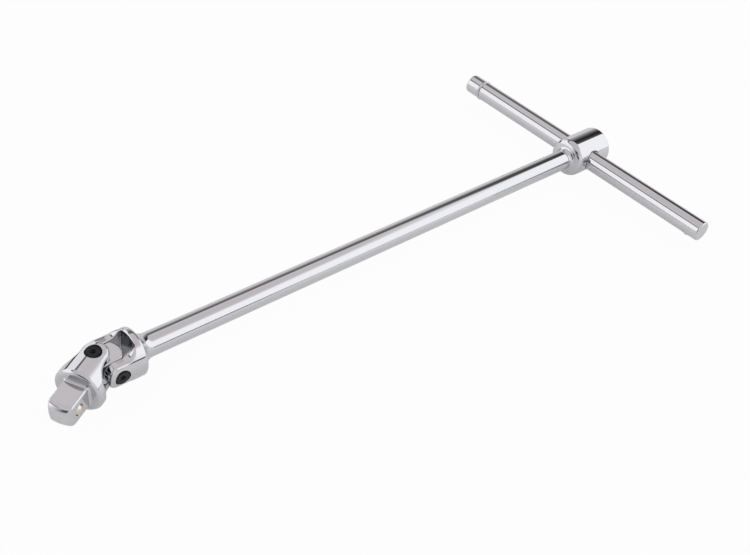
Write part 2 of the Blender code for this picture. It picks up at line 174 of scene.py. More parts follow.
def slope_of(distance, points):
    """How the distance grows along each axis, from its difference a small step either way."""
    step = 0.002
    ahead = [distance(*(points + shift).T) for shift in np.eye(3) * step]
    behind = [distance(*(points - shift).T) for shift in np.eye(3) * step]
    return (np.stack(ahead, 1) - np.stack(behind, 1)) / (2 * step)


print("joined corner at 45 degrees, radius 1:", round(float(joined(np.array(0.3), np.array(0.3), 1.0)), 3))

# %% [markdown]
# The grid that finds the skin has narrow steps at the slots and edges, and wide ones along the
# plain shaft. One point goes into each grid cell that the skin passes through, and the four cells
# round every crossed grid edge make a face. Each point then slides down the slope onto the skin.
# The faces step up and down where the skin runs slantwise to the grid, which a mirror would show as
# streaks, so the points are spread evenly along the skin at the end.

# %% Grid lines and the skin between them
def grid_lines(low, high, wide, fine, near):
    """Places of grid lines: the step is fine at each marked place, and grows by a quarter of the way off."""
    dense = np.linspace(low, high, 6001)
    away = np.abs(dense[:, None] - np.asarray(near, float)).min(1)
    step = np.minimum(wide, fine + away / 4)
    passed = np.concatenate([[0], np.cumsum(np.diff(dense) * 2 / (step[1:] + step[:-1]))])
    return np.interp(np.linspace(0, passed[-1], math.ceil(passed[-1]) + 1), passed, dense)


def crossings(value, inside, grid, axis):
    """Where grid edges along one axis pass through the skin, by straight interpolation."""
    lower = tuple(slice(None, -1) if k == axis else slice(None) for k in range(3))
    upper = tuple(slice(1, None) if k == axis else slice(None) for k in range(3))
    crossed = inside[lower] != inside[upper]
    fall = np.where(crossed, value[lower] - value[upper], 1.0)
    share = np.where(crossed, value[lower] / fall, 0.0)
    spots = np.stack([line[lower] for line in grid], -1)
    spots[..., axis] += share * (grid[axis][upper] - grid[axis][lower])
    return crossed, inside[lower], spots * crossed[..., None]


def skin_of(distance, lines):
    """Points and faces of the zero surface: a cell's point is the mean of its edges' crossings."""
    grid = np.meshgrid(*lines, indexing="ij")
    value = distance(*grid)
    inside = value < 0
    cells = tuple(n - 1 for n in value.shape)
    total, hits, found = np.zeros((*cells, 3)), np.zeros(cells), []
    for axis in range(3):
        crossed, low_inside, spots = crossings(value, inside, grid, axis)
        for corner in np.ndindex(2, 2):
            start = list(corner[:axis]) + [0] + list(corner[axis:])
            window = tuple(slice(s, s + n) for s, n in zip(start, cells))
            total += spots[window]
            hits += crossed[window]
        found.append((crossed, low_inside))
    used = hits > 0
    number = np.full(cells, -1)
    number[used] = np.arange(used.sum())
    faces = []
    for axis, (crossed, low_inside) in enumerate(found):
        edges = np.argwhere(crossed)
        ring = []
        for a, b in ((-1, -1), (0, -1), (0, 0), (-1, 0)):
            cell = edges.copy()
            cell[:, (axis + 1) % 3] += a
            cell[:, (axis + 2) % 3] += b
            ring.append(number[tuple(cell.T)])
        quads = np.stack(ring, 1)
        turned = ~low_inside[crossed]
        quads[turned] = quads[turned][:, ::-1]
        faces.append(quads)
    return total[used] / hits[used][:, None], np.concatenate(faces)


def settled(distance, points):
    """Newton steps along the slope until the distance is nought, and the unit slope there."""
    for _ in range(6):
        slope = slope_of(distance, points)
        move = distance(*points.T) / np.maximum((slope**2).sum(1), 0.25)
        points = points - np.clip(move, -0.3, 0.3)[:, None] * slope
    slope = slope_of(distance, points)
    return points, slope / np.linalg.norm(slope, axis=1, keepdims=True)


def evened(distance, points, faces):
    """Each point goes to the mean of its faces' middles and back onto the skin, three times over."""
    count = np.bincount(faces.ravel(), minlength=len(points))[:, None]
    for _ in range(3):
        total = np.zeros_like(points)
        np.add.at(total, faces, points[faces].mean(1)[:, None])
        points, normals = settled(distance, total / count)
    return points, normals


# %% [markdown]
# A buffing wheel rides on the edges and can't reach the corners. How much of either a point is
# follows from the same distance. A probe outside a corner is nearer to the metal than it went, and
# a probe inside an edge is nearer to the open air. Both are stored on the points for the finish,
# which also paints the corners darker as painted shade.

# %% Skin a solid
def hollows_and_edges(distance, points, normals):
    """Share lost by a probe 2 mm out, for corners, and by one 0.8 mm in, for edges."""
    out, deep = 2.0, 0.8
    hollow = 1 - distance(*(points + out * normals).T) / out
    edge = 1 + distance(*(points - deep * normals).T) / deep
    return np.clip(hollow, 0, 1), np.clip(3 * edge, 0, 1)


def skinned(name, distance, lines, spot, node, body, milled):
    """A solid's skin as a piece, with marks for corners, edges and the slot surfaces left from the cutter.
    """
    points, faces = skin_of(distance, lines)
    points, normals = evened(distance, settled(distance, points)[0], faces)
    hollow, edge = hollows_and_edges(distance, points, normals)
    # The corner and slot marks also paint the colour darker there, as painted shade.
    marks = {"hollow": hollow, "edge": edge, "milled": milled(*points.T)}
    row_points = to_row_frame(points, spot)
    off = np.abs(distance(*points.T)).max()
    print(f"{name}: farthest point off its skin {off:.4f} mm, volume "
          f"{signed_volume(row_points, faces) / MM**3:.0f} mm3")
    return make_piece(name, row_points, faces.tolist(), node, body,
                      normals=normals @ spot[1], marks=marks)


# %% [markdown]
# ## The spindle
#
# Hub, shaft and rear fork are one forging. The blank is three rounds on one axis with soft
# shoulders between them. Then it is bored for the bar, slotted, its ears are milled narrower than
# the round, and it is drilled for the pin. The distances below follow those steps in that order.

# %% Round shoulders
def shoulder(radius, past, outer, edge, inner, fillet):
    """A thick round that bends into a thin one: a convex arc, then a hollow arc that touches both.

    past is how far a point lies beyond the end of the thick side. Between the hollow arc's two
    touching points the metal is all that lies outside its circle.
    """
    step = inner + fillet - (outer - edge)
    rise = math.sqrt((edge + fillet) ** 2 - step**2)
    across, along = inner + fillet - radius, rise - past
    hollow = fillet - np.hypot(across, along)
    within = (across > 0) & (along > 0) & (along * step < across * rise)
    plain = np.minimum(shared(radius - outer, past - edge, edge), radius - inner)
    return np.where(within, hollow, plain)


at_bend = shoulder(np.array([9.0, 6.35]), np.array([4.1, 9.0]), 12.3, 4.2, 6.35, 2.8)
print("distance at two spots by the hub's front:", at_bend.round(2))

# %% Shared fork sizes
FORK_RADIUS = 12.75
SLOT_FLOOR, SLOT_CORNER = 10.2, 0.6
EAR_TIP, EAR_HALF, EAR_ROUND, EAR_EDGE = 7.2, 6.75, 1.9, 1.0
SHANK_HOLE, HEAD_HOLE = 3.1, 4.1
HEAD_FROM, HEAD_TO = 10.95, 11.85
ACROSS_HEAD = np.linspace(-HEAD_HOLE, HEAD_HOLE, 9)


def ear_side(along, across, start, flare):
    """The ears seen along the pin: a slab with a round tip, widened at its root.

    The root follows the circle of a milling cutter, whose radius is flare.
    """
    across = np.abs(across)
    tip = np.hypot(np.maximum(along, 0), across) - EAR_TIP
    slab = shared(across - EAR_HALF, tip, 0.4)
    behind = -along - start
    root = flare - np.hypot(behind, np.maximum(EAR_HALF + flare - across, 0))
    return np.where(behind > 0, root, slab)


def slot_edge(from_floor):
    """Radius of the slot's edges: 0.9 mm at its floor, 0.5 mm along the ears."""
    return np.interp(from_floor, [0, 4], [0.9, 0.5])


def pin_hole(radius, height):
    """A straight hole that opens to the flared head: the radius grows between two heights."""
    return radius - np.interp(np.abs(height), [HEAD_FROM, HEAD_TO], [SHANK_HOLE, HEAD_HOLE])


print(f"ears {2 * EAR_HALF:.1f} mm wide, with a tip {EAR_TIP} mm from the pin")

# %% Spindle
HUB_RADIUS, HUB_REAR, HUB_FRONT = 12.3, 16.4, 10.3
ROD_RADIUS, BAR_BORE = 6.35, 6.65
SHAFT_FORK_BACK, SHAFT_SLOT_HALF = 12.7, 6.5
bar_way = fork_place[1] @ np.array([0.0, 1.0, 0.0])


def rear_slot(x, y):
    return shared(np.abs(y) - SHAFT_SLOT_HALF, -SLOT_FLOOR - x, SLOT_CORNER)


def spindle_distance(x, y, z):
    """Hub and fork with their shoulders, less what is milled, bored and drilled away.

    The cuts are the sides of the ears, the bar's bore, the slot and the pin's hole.
    """
    radius = np.hypot(y, z)
    from_bar = x + bar_to_pin
    hub = shoulder(radius, from_bar - HUB_FRONT, HUB_RADIUS, 4.2, ROD_RADIUS, 2.8)
    head = shoulder(radius, -SHAFT_FORK_BACK - x, FORK_RADIUS, 1.7, ROD_RADIUS, 7.5)
    solid = np.where(x < -bar_to_pin / 2, shared(hub, -HUB_REAR - from_bar, 1.1),
                     shared(head, x - EAR_TIP, EAR_ROUND))
    solid = shared(solid, ear_side(x, z, 2.8, 6.6), EAR_EDGE)
    above_bar = bar_way[1] * z - bar_way[2] * y
    solid = cut(solid, np.hypot(from_bar, above_bar) - BAR_BORE, 0.4)
    solid = cut(solid, rear_slot(x, y), slot_edge(x + SLOT_FLOOR))
    return cut(solid, pin_hole(np.hypot(x, z), y), 0.25)


# The slot mask roughens the slot and paints it darker as painted shade.
def spindle_milled_and_shaded(x, y, z):
    """One on the slot's floor and walls, nought elsewhere."""
    return (np.abs(rear_slot(x, y)) < 0.05) * (np.hypot(x, z) > SHANK_HOLE + 0.3) * 1.0


long_lines = grid_lines(-bar_to_pin - 18, 9, 4.0, 0.2, [
    -bar_to_pin - HUB_REAR, -bar_to_pin - 6, -bar_to_pin, -bar_to_pin + 6, -bar_to_pin + 12.5,
    -bar_to_pin + 15, -20, -SHAFT_FORK_BACK - 1.5, -SLOT_FLOOR, -9, *ACROSS_HEAD, EAR_TIP - 1])
across_lines = grid_lines(-13.6, 13.6, 0.40, 0.18, [-12.4, -SHAFT_SLOT_HALF, SHAFT_SLOT_HALF, 12.4])
height_lines = grid_lines(-13.6, 13.6, 0.40, 0.18, [-EAR_HALF + 0.3, *ACROSS_HEAD, EAR_HALF - 0.3])
spindle = skinned("plated_spindle", spindle_distance, (long_lines, across_lines, height_lines),
                  fork_place, "spindle", "spindle", spindle_milled_and_shaded)

# %% [markdown]
# ## The cross bar
#
# The bar is a plain ground rod. Near its far end a groove holds the stop ring, and near the other
# a spring ball looks out of a blind hole whose mouth is staked in a little to keep the ball. It
# could be one turned outline, but for that hole, so it is a distance as well.

# %% Bar
BAR_HALF = 100.0
RING_AT, RING_MIDDLE, GROOVE = -88.4, 6.1, 0.88
BAR_BALL_AT, BAR_BALL_RADIUS, BAR_BALL_HEIGHT, BAR_BALL_FLOOR = 92.3, 2.38, 4.57, -3.95
bar_ball_out = -np.array(joints["bar_ball_press"]["axis"])


def ball_hole(radius, height, ball_radius, ball_height, mouth, floor):
    """A blind hole a little wider than the ball, narrowing to a lip over the ball's widest part."""
    lip_at = mouth - 0.7
    lip = math.sqrt(ball_radius**2 - (lip_at - ball_height) ** 2) + 0.12
    wall = np.interp(height, [lip_at - 0.4, lip_at], [ball_radius + 0.25, lip])
    return shared(radius - wall, floor - height, 0.5)


def bar_distance(x, y, z):
    """A rod with rounded ends, less the ring's round groove and the ball's hole."""
    radius = np.hypot(x, z)
    rod = shared(radius - ROD_RADIUS, np.abs(y) - BAR_HALF, 1.0)
    rod = cut(rod, np.hypot(radius - RING_MIDDLE, y - RING_AT) - GROOVE, 0.12)
    out = x * bar_ball_out[0] + z * bar_ball_out[2]
    beside = np.hypot(y - BAR_BALL_AT, z * bar_ball_out[0] - x * bar_ball_out[2])
    hole = ball_hole(beside, out, BAR_BALL_RADIUS, BAR_BALL_HEIGHT, ROD_RADIUS, BAR_BALL_FLOOR)
    return cut(rod, hole, 0.2)


def nowhere(x, y, z):
    return np.zeros_like(x)


bar_lines = grid_lines(-101.5, 101.5, 5.0, 0.15, [-BAR_HALF, RING_AT - 1, RING_AT + 1,
                                              BAR_BALL_AT - 2.3, BAR_BALL_AT + 2.3, BAR_HALF])
round_lines = np.linspace(-7.2, 7.2, 60)
bar = skinned("plated_bar", bar_distance, (round_lines, bar_lines, round_lines),
              bar_place, "t_bar", "sliding_bar", nowhere)

# %% [markdown]
# ## The knuckle block
#
# A square block with arched ends carries both pins at right angles, one behind the other. Milled
# and tumbled, it keeps soft edges all round.

# %% Knuckle block
BLOCK_WIDE, BLOCK_TALL = 6.25, 6.6
BLOCK_END, BLOCK_ARC_AT = 9.375, 0.725


def block_distance(x, y, z):
    """A square bar whose ends are arcs about two lines near its middle, less the two pins' holes."""
    sides = shared(np.abs(y) - BLOCK_WIDE, np.abs(z) - BLOCK_TALL, 0.8)
    ends = np.hypot(np.abs(x) - BLOCK_ARC_AT, y) - BLOCK_END
    block = shared(sides, ends, 0.8)
    block = cut(block, np.hypot(x + pin_spacing / 2, z) - SHANK_HOLE, 0.3)
    return cut(block, np.hypot(x - pin_spacing / 2, y) - SHANK_HOLE, 0.3)


block_lines = [grid_lines(-10.8, 10.8, 0.4, 0.18, near) for near in
               ([-9.6, -7.0, -0.8, 0.8, 7.0, 9.6], [-6, -3.1, 3.1, 6], [-6.3, -3.1, 3.1, 6.3])]
block = skinned("plated_block", block_distance, block_lines, block_place,
                "knuckle_block", "knuckle", nowhere)

# %% [markdown]
# ## The drive end
#
# The front fork and the male square are one forging too. Its ears flare in one long hollow curve
# into a round base, and the square grows out of the base over a small fillet. The square's long
# edges, its tip and the rim of the base are well rounded, so that it slips into a socket.

# %% Drive end
BASE_FRONT, SQUARE_TIP, SQUARE_HALF, TIP_ROUND = 15.5, 32.5, 6.35, 2.8
DRIVE_SLOT_HALF = 6.85
DRIVE_BALL_AT, DRIVE_BALL_RADIUS, DRIVE_BALL_HEIGHT, DRIVE_BALL_FLOOR = 24.2, 3.0, 4.65, -4.85


def front_slot(x, z):
    return shared(np.abs(z) - DRIVE_SLOT_HALF, x - SLOT_FLOOR, SLOT_CORNER)


def square_corner(x):
    """Radius of the square's long edges: 1.2 mm, growing where the tip draws in along its own arc."""
    over = np.clip(x - SQUARE_TIP + TIP_ROUND, 0, TIP_ROUND)
    return 1.2 + 1.7 * (TIP_ROUND - np.sqrt(TIP_ROUND**2 - over**2))


def drive_distance(x, y, z):
    """A round base less the sides of the ears, joined to a square with a slightly domed tip.

    The slot, the pin's hole and the ball's hole are cut from both at the end.
    """
    radius = np.hypot(y, z)
    base = shared(shared(radius - FORK_RADIUS, x - BASE_FRONT, 1.9), -EAR_TIP - x, EAR_ROUND)
    base = shared(base, ear_side(-x, y, 0.0, 13.2), EAR_EDGE)
    flanks = shared(np.abs(y) - SQUARE_HALF, np.abs(z) - SQUARE_HALF, square_corner(x))
    square = shared(flanks, x - SQUARE_TIP + 0.025 * radius**2, TIP_ROUND)
    solid = joined(base, np.maximum(square, BASE_FRONT - 4 - x), 1.4)
    solid = cut(solid, front_slot(x, z), slot_edge(SLOT_FLOOR - x))
    solid = cut(solid, pin_hole(np.hypot(x, y), z), 0.25)
    beside = np.hypot(x - DRIVE_BALL_AT, z)
    hole = ball_hole(beside, y, DRIVE_BALL_RADIUS, DRIVE_BALL_HEIGHT, SQUARE_HALF, DRIVE_BALL_FLOOR)
    return cut(solid, hole, 0.2)


# The slot mask roughens the slot and paints it darker as painted shade.
def drive_milled_and_shaded(x, y, z):
    """One on the slot's floor and walls, nought elsewhere."""
    return (np.abs(front_slot(x, z)) < 0.05) * (np.hypot(x, y) > SHANK_HOLE + 0.3) * 1.0


drive_lines = (
    grid_lines(-8.2, 33.8, 0.36, 0.16, [-6.2, *ACROSS_HEAD, SLOT_FLOOR, BASE_FRONT - 0.8, BASE_FRONT + 0.8,
                                        21.3, 27.1, SQUARE_TIP - 1.2, SQUARE_TIP - 0.3]),
    grid_lines(-13.6, 13.6, 0.36, 0.16, [-11.8, -EAR_HALF + 0.6, *ACROSS_HEAD, EAR_HALF - 0.6, 11.8]),
    grid_lines(-13.6, 13.6, 0.36, 0.16, [-12.4, -SQUARE_HALF + 0.4, SQUARE_HALF - 0.4, 12.4]))
drive = skinned("plated_drive_end", drive_distance, drive_lines, drive_place,
                "drive_fork", "drive_end", drive_milled_and_shaded)

# %% [markdown]
# ## Turned and drawn pieces
#
# The pins, balls, ring and springs are all rings of points: a profile carried round an axis, or a
# round section carried along a wire. One function joins rows of rings into a closed skin, with a
# single point at each end.

# %% Rings to a closed skin
def closed_loft(rings, first, last):
    """Quads between neighbouring rings, and triangles from each end point to its nearest ring."""
    count, around = rings.shape[:2]
    points = np.concatenate([rings.reshape(-1, 3), [first], [last]])
    number = np.arange(count * around).reshape(count, around)
    after = np.roll(number, -1, axis=1)
    quads = np.stack([number[:-1], after[:-1], after[1:], number[1:]], -1).reshape(-1, 4)
    start, end = np.full(around, count * around), np.full(around, count * around + 1)
    fans = np.concatenate([np.stack([start, after[0], number[0]], 1),
                           np.stack([end, number[-1], after[-1]], 1)])
    if signed_volume(points, quads) + signed_volume(points, fans) < 0:
        quads, fans = quads[:, ::-1], fans[:, ::-1]
    return points, quads.tolist() + fans.tolist()


def turned(profile, steps):
    """A profile of (radius, height) once round the Z axis: radius times cosine and sine, and height."""
    angle = np.linspace(0, 2 * np.pi, steps, endpoint=False)
    radius, height = profile[1:-1, :1], profile[1:-1, 1:]
    rings = np.stack([radius * np.cos(angle), radius * np.sin(angle), height + 0 * angle], -1)
    return closed_loft(rings, (0, 0, profile[0, 1]), (0, 0, profile[-1, 1]))


def softened(corners, radius, steps=5):
    """Each inner corner of an outline becomes a short curve that starts the radius away on both sides."""
    corners = np.asarray(corners, float)
    before, here, after = corners[:-2], corners[1:-1], corners[2:]
    reach = np.minimum(radius, 0.45 * np.minimum(np.linalg.norm(here - before, axis=1),
                                                 np.linalg.norm(after - here, axis=1)))[:, None]
    start = here + reach * (before - here) / np.linalg.norm(before - here, axis=1, keepdims=True)
    end = here + reach * (after - here) / np.linalg.norm(after - here, axis=1, keepdims=True)
    t = np.linspace(0, 1, steps)[None, :, None]
    bend = (1 - t) ** 2 * start[:, None] + 2 * t * (1 - t) * here[:, None] + t**2 * end[:, None]
    return np.concatenate([corners[:1], bend.reshape(-1, 2), corners[-1:]])


print("a softened right angle has", len(softened([(0, 0), (1, 0), (1, 1)], 0.2)), "points")

# %% [markdown]
# ## The pins
#
# Both joints turn on black-oxide pins. Each end is spread into a flush head by a punch that leaves
# a conical dimple, and the lathe leaves fine rings round it.

# %% Pins
PIN_END, PIN_HEAD, PIN_SHANK = 12.45, 3.9, 2.9
DIMPLE_RADIUS, DIMPLE_DEPTH = 1.3, 1.7
pin_top = [(0, PIN_END - DIMPLE_DEPTH), (DIMPLE_RADIUS, PIN_END - 0.12), (1.75, PIN_END),
           (PIN_HEAD, PIN_END), (PIN_HEAD, HEAD_TO), (PIN_SHANK, HEAD_FROM)]
pin_outline = softened(pin_top + [(r, -h) for r, h in reversed(pin_top)], 0.22)
pin_points, pin_faces = turned(pin_outline, 64)
rear_pin_axes = np.roll(fork_place[1], -2, axis=0)
for name, spot, node, body in (
        ("rear_pin", place(fork_place[0], rear_pin_axes), "shaft_fork_pin", "spindle"),
        ("front_pin", drive_place, "drive_fork_pin", "drive_end")):
    make_piece(name, to_row_frame(pin_points, spot), pin_faces, node, body)

# %% [markdown]
# ## Balls and their springs
#
# Two hardened balls click into a socket and hold the bar. A ball is a half circle turned about its
# axis. Behind each lies a short coil of drawn wire, whose line climbs as it goes round.

# %% Balls
def ball(name, radius, centre, node, body):
    """A half circle of the radius, from pole to pole, turned about the way the ball looks out."""
    angle = np.linspace(np.pi / 2, -np.pi / 2, 41)
    points, faces = turned(np.stack([radius * np.cos(angle), radius * np.sin(angle)], 1), 64)
    return make_piece(name, np.asarray(centre) + MM * points, faces, node, body)


def middle_of(node):
    low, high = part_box(node)
    return (np.array(low) + np.array(high)) / 2


bar_ball = ball("bar_detent_ball", BAR_BALL_RADIUS, middle_of("bar_ball"), "bar_ball", "bar_ball")
drive_ball = ball("square_detent_ball", DRIVE_BALL_RADIUS, middle_of("drive_ball"),
                  "drive_ball", "drive_ball")


# %% Wires
def wire(path, thickness, axis):
    """A circle carried along a path: across it the sideways and upward directions, ends rounded off."""
    way = np.gradient(path, axis=0)
    way /= np.linalg.norm(way, axis=1, keepdims=True)
    side = np.cross(way, axis)
    side /= np.linalg.norm(side, axis=1, keepdims=True)
    up = np.cross(side, way)
    radius = thickness / 2
    swell = np.radians(np.linspace(80, 10, 6))
    shrink = swell[::-1]
    lead = path[0] - radius * np.sin(swell)[:, None] * way[0]
    tail = path[-1] + radius * np.sin(shrink)[:, None] * way[-1]
    centre = np.concatenate([lead, path, tail])
    size = radius * np.concatenate([np.cos(swell), np.ones(len(path)), np.cos(shrink)])
    side = np.concatenate([np.repeat(side[:1], 6, 0), side, np.repeat(side[-1:], 6, 0)])
    up = np.concatenate([np.repeat(up[:1], 6, 0), up, np.repeat(up[-1:], 6, 0)])
    angle = np.linspace(0, 2 * np.pi, 20, endpoint=False)[None, :, None]
    round_it = np.cos(angle) * side[:, None] + np.sin(angle) * up[:, None]
    rings = centre[:, None] + size[:, None, None] * round_it
    return closed_loft(rings, path[0] - radius * way[0], path[-1] + radius * way[-1])


# %% Springs
SPRING_WIRE, SPRING_TURNS = 0.6, 4


def spring(name, ball_radius, ball_height, floor, spot, node, body):
    """Radius times cosine and sine of the angle, climbing evenly but for half a flat turn at each end."""
    coil = ball_radius - SPRING_WIRE / 2
    low = floor + 0.25 + SPRING_WIRE / 2
    high = ball_height - math.sqrt((ball_radius + 0.25 + SPRING_WIRE / 2) ** 2 - coil**2)
    turn = np.linspace(0, SPRING_TURNS + 1, 40 * (SPRING_TURNS + 1) + 1)
    climb = np.clip((turn - 0.5) / SPRING_TURNS, 0, 1)
    path = np.stack([coil * np.cos(2 * np.pi * turn), coil * np.sin(2 * np.pi * turn),
                     low + (high - low) * climb], 1)
    points, faces = wire(path, SPRING_WIRE, np.array([0.0, 0.0, 1.0]))
    coil_piece = make_piece(name, to_row_frame(points, spot), faces, node, body)
    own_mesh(coil_piece)
    return coil_piece


bar_ball_axes = square_axes(y=(0, 1, 0), z=bar_ball_out)
bar_spring_place = place(bar_place[0] + (0, BAR_BALL_AT * MM, 0), bar_ball_axes)
spring("bar_ball_coil", BAR_BALL_RADIUS, BAR_BALL_HEIGHT, BAR_BALL_FLOOR, bar_spring_place,
       "bar_ball_spring", "sliding_bar")
drive_spring_axes = np.roll(drive_axes, -2, axis=0)
drive_spring_place = place(drive_place[0] + DRIVE_BALL_AT * MM * drive_axes[0], drive_spring_axes)
spring("drive_ball_coil", DRIVE_BALL_RADIUS, DRIVE_BALL_HEIGHT, DRIVE_BALL_FLOOR, drive_spring_place,
       "drive_ball_spring", "drive_end")

# %% [markdown]
# ## The stop ring
#
# An open ring of round wire snaps into the bar's groove and stops the bar from leaving the hub. It
# is most of a circle, carried with the same round section.

# %% Stop ring
RING_WIRE, RING_OPENING = 1.5, math.radians(24)
ring_angle = np.linspace(RING_OPENING / 2, 2 * np.pi - RING_OPENING / 2, 121) - np.pi / 2
ring_path = np.stack([RING_MIDDLE * np.cos(ring_angle), np.full(121, RING_AT),
                      RING_MIDDLE * np.sin(ring_angle)], 1)
ring_points, ring_faces = wire(ring_path, RING_WIRE, np.array([0.0, 1.0, 0.0]))
ring = make_piece("wire_stop_ring", to_row_frame(ring_points, bar_place), ring_faces,
                  "stop_ring", "stop_ring")

# %% [markdown]
# ## The finishes
#
# Chrome has no colour pattern of its own: what shows is how smooth it is. A long, faint waviness
# bends reflections, a finer haze blurs them a little and shifts the tone at random, and corners
# that the buffing wheel missed stay rougher. The corners and the slots are also painted darker, as
# painted shade. All bright metals here share that, so it is one node group with its own amounts in
# each material.

# %% Node helpers
def new_group(name, inputs, outputs):
    """An empty node group with named sockets: (name, kind, value) rows in, (name, kind) rows out."""
    tree = bpy.data.node_groups.new(name, "ShaderNodeTree")
    for socket, kind, value in inputs:
        made = tree.interface.new_socket(socket, in_out="INPUT", socket_type="NodeSocket" + kind)
        made.default_value = value
    for socket, kind in outputs:
        tree.interface.new_socket(socket, in_out="OUTPUT", socket_type="NodeSocket" + kind)
    return tree, tree.nodes.new("NodeGroupInput"), tree.nodes.new("NodeGroupOutput")


def node(tree, kind, settings=None, **links):
    """One node: settings are its own properties, and links fill its inputs by name or number."""
    made = tree.nodes.new("ShaderNode" + kind)
    for key, value in (settings or {}).items():
        setattr(made, key, value)
    for key, value in links.items():
        socket = made.inputs[int(key[1:])] if key[0] == "i" and key[1:].isdigit() else made.inputs[key]
        if isinstance(value, bpy.types.NodeSocket):
            tree.links.new(value, socket)
        else:
            socket.default_value = value
    return made


def math_node(tree, operation, a, b=0.0, c=0.0):
    return node(tree, "Math", {"operation": operation}, i0=a, i1=b, i2=c).outputs[0]


# %% Buffed metal group
buffed, given, result = new_group(
    "buffed_metal",
    [("Vector", "Vector", (0, 0, 0)), ("Grain", "Vector", (1, 1, 1)), ("Hollow", "Float", 0),
     ("Edge", "Float", 0), ("Milled", "Float", 0), ("Smoothness", "Float", 0.05)],
    [("Roughness", "Float"), ("Height", "Float"), ("Shade_And_Haze", "Float")])
waves = node(buffed, "TexNoise", Vector=given.outputs["Vector"], Scale=60.0, Detail=1.0)
haze = node(buffed, "TexNoise", Vector=given.outputs["Vector"], Scale=700.0, Detail=3.0)
stretched = node(buffed, "VectorMath", {"operation": "MULTIPLY"},
                 i0=given.outputs["Vector"], i1=given.outputs["Grain"])
lines = node(buffed, "TexNoise", Vector=stretched.outputs[0], Scale=1.0, Detail=2.0)
rough = math_node(buffed, "MULTIPLY_ADD", haze.outputs[0], 0.05, given.outputs["Smoothness"])
rough = math_node(buffed, "MULTIPLY_ADD", given.outputs["Hollow"], 0.06, rough)
rough = math_node(buffed, "MULTIPLY_ADD", given.outputs["Milled"], 0.05, rough)
rough = math_node(buffed, "MULTIPLY_ADD", given.outputs["Edge"], 0.02, rough)
buffed.links.new(rough, result.inputs["Roughness"])
height = math_node(buffed, "MULTIPLY_ADD", lines.outputs[0], 0.02, waves.outputs[0])
grooves = math_node(buffed, "MULTIPLY", lines.outputs[0], given.outputs["Milled"])
buffed.links.new(math_node(buffed, "MULTIPLY_ADD", grooves, 0.01, height), result.inputs["Height"])
# Painted shade in hollow corners and in the slots, plus a little random tone from the haze.
shade_and_haze = math_node(buffed, "MULTIPLY_ADD", given.outputs["Hollow"], 0.6,
                 math_node(buffed, "MULTIPLY", haze.outputs[0], 0.2))
shade_and_haze = math_node(buffed, "MULTIPLY_ADD", given.outputs["Milled"], 0.3, shade_and_haze)
buffed.links.new(shade_and_haze, result.inputs["Shade_And_Haze"])
print("buffed_metal has", len(buffed.nodes), "nodes")


# %% Bright metals
def bright_metal(name, colour, shaded_colour, smoothness, grain, wave_depth):
    """Metal with roughness, small waves and painted shade in corners and slots from the buffed-metal group.
    """
    material = bpy.data.materials.new(name)
    material.use_nodes = True
    tree = material.node_tree
    shader = tree.nodes["Principled BSDF"]
    shader.inputs["Metallic"].default_value = 1.0
    spot = node(tree, "TexCoord").outputs["Object"]
    marks = {mark: node(tree, "Attribute", {"attribute_name": mark.lower()}).outputs["Fac"]
             for mark in ("Hollow", "Edge", "Milled")}
    finish = node(tree, "Group", {"node_tree": buffed}, Vector=spot, Grain=grain,
                  Smoothness=smoothness, **marks)
    tone = node(tree, "Mix", {"data_type": "RGBA"}, Factor=finish.outputs["Shade_And_Haze"])
    tone.inputs[6].default_value = (*colour, 1.0)
    tone.inputs[7].default_value = (*shaded_colour, 1.0)
    tree.links.new(tone.outputs[2], shader.inputs["Base Color"])
    tree.links.new(finish.outputs["Roughness"], shader.inputs["Roughness"])
    bump = node(tree, "Bump", Strength=0.25, Distance=wave_depth, Height=finish.outputs["Height"])
    tree.links.new(bump.outputs[0], shader.inputs["Normal"])
    return material


# The second colour of each bright metal is painted shade, for its corners and slots.
CHROME, CHROME_SHADED = (0.66, 0.665, 0.685), (0.46, 0.46, 0.48)
along_x, along_y = (2600.0, 60.0, 60.0), (60.0, 2600.0, 60.0)
shaft_chrome = bright_metal("shaft_chrome", CHROME, CHROME_SHADED, 0.04, along_x, 0.00004)
bar_chrome = bright_metal("bar_chrome", CHROME, CHROME_SHADED, 0.04, along_y, 0.00004)
joint_chrome = bright_metal("joint_chrome", CHROME, CHROME_SHADED, 0.05, (500.0, 500.0, 500.0), 0.00004)
ball_steel = bright_metal("ball_steel", (0.72, 0.66, 0.61), (0.5, 0.45, 0.41), 0.05,
                          (300.0, 300.0, 300.0), 0.00001)
grey_ball_steel = bright_metal("grey_ball_steel", (0.62, 0.62, 0.63), (0.44, 0.44, 0.45), 0.06,
                               (300.0, 300.0, 300.0), 0.00001)
wire_steel = bright_metal("wire_steel", (0.45, 0.45, 0.46), (0.3, 0.3, 0.3), 0.2,
                          (300.0, 300.0, 300.0), 0.00001)
for piece, material in ((spindle, shaft_chrome), (bar, bar_chrome), (ring, bar_chrome),
                        (block, joint_chrome), (drive, joint_chrome), (bar_ball, grey_ball_steel),
                        (drive_ball, ball_steel), (bpy.data.objects["bar_ball_coil"], wire_steel),
                        (bpy.data.objects["drive_ball_coil"], wire_steel)):
    piece.data.materials.append(material)
